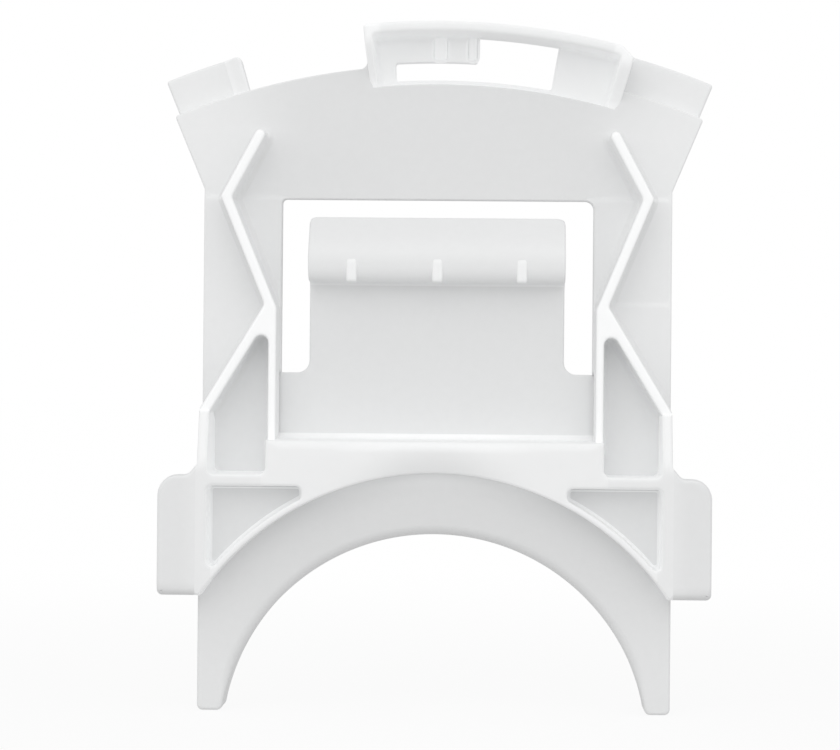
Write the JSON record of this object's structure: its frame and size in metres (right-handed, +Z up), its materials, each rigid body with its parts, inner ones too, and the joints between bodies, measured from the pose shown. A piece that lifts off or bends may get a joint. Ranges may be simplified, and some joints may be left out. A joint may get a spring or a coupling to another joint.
{
  "type": "watch movement holder",
  "caption": "Moulded white plastic snap-in holder: flat windowed plate with a spring tongue, stiffening ribs, side ears, a catch tray on its top rim and a half-round saddle between two legs.",
  "frame": {"origin": "centre of the bounding box at the level of the leg tips", "axes": "+Z up from the leg tips to the catch tray, the ribbed front faces -Y, +X to the right seen from the front"},
  "size_m": [0.0768, 0.0122, 0.0957],
  "materials": {
    "frame_plastic": "fine satin moulded surface, milky natural white",
    "rib_plastic": "fine satin moulded surface, milky natural white, thin and lighter",
    "tongue_plastic": "fine satin moulded surface, milky natural white"
  },
  "bodies": {
    "frame": {"base_plate": "frame_plastic", "belt_rib_left": "rib_plastic", "belt_rib_right": "rib_plastic", "diagonal_rib_left": "rib_plastic", "diagonal_rib_right": "rib_plastic", "ear_left": "frame_plastic", "ear_right": "frame_plastic", "floor_rib_1": "rib_plastic", "floor_rib_2": "rib_plastic", "leg_rim_left": "frame_plastic", "leg_rim_right": "frame_plastic", "post_rib_left": "rib_plastic", "post_rib_right": "rib_plastic", "rim_tab_left": "frame_plastic", "rim_tab_right": "frame_plastic", "saddle_bridge": "frame_plastic", "saddle_rim": "frame_plastic", "saddle_web": "frame_plastic", "shelf_left": "rib_plastic", "shelf_right": "rib_plastic", "side_wall_left": "rib_plastic", "side_wall_right": "rib_plastic", "tab_wall_left": "rib_plastic", "top_rail": "rib_plastic", "tray_floor": "frame_plastic", "tray_wall_left": "rib_plastic", "tray_wall_right": "rib_plastic", "zigzag_rib_left": "rib_plastic", "zigzag_rib_right": "rib_plastic"},
    "tongue": {"lip_gusset_1": "tongue_plastic", "lip_gusset_2": "tongue_plastic", "lip_gusset_3": "tongue_plastic", "spring_tongue": "tongue_plastic", "thumb_lip": "tongue_plastic"}
  },
  "joints": [
    {"name": "tongue_flex", "type": "hinge", "parent": "frame", "child": "tongue", "pos_m": [0, 0.0037, 0.04705], "axis": [-1, 0, 0], "range_deg": [-5, 12], "stiffness_Nm_per_rad": 3}
  ]
}
